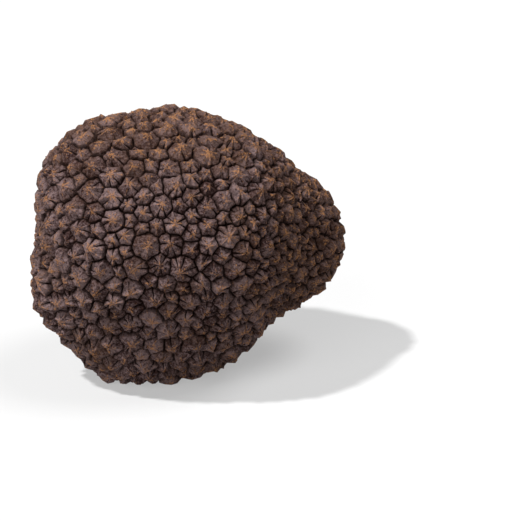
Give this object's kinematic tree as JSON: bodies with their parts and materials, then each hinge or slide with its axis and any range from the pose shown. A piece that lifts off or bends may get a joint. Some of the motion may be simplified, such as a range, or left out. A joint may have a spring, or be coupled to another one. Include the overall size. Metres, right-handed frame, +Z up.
{
  "type": "black truffle",
  "caption": "Whole black truffle: a lumpy solid fruiting body with a shallow side lobe, covered all over in low pyramid-shaped warts, lying on a small flat spot.",
  "frame": {"origin": "middle of the small flat spot that the truffle rests on", "axes": "+X to the right along the longest side, towards the side lobe, +Y to the back, +Z up"},
  "size_m": [0.0694, 0.0593, 0.0595],
  "materials": {
    "warty_skin": "matt, rough brownish-black skin with worn orange-brown wart tips and near-black furrows"
  },
  "bodies": {
    "root": {"truffle": "warty_skin"}
  },
  "joints": []
}
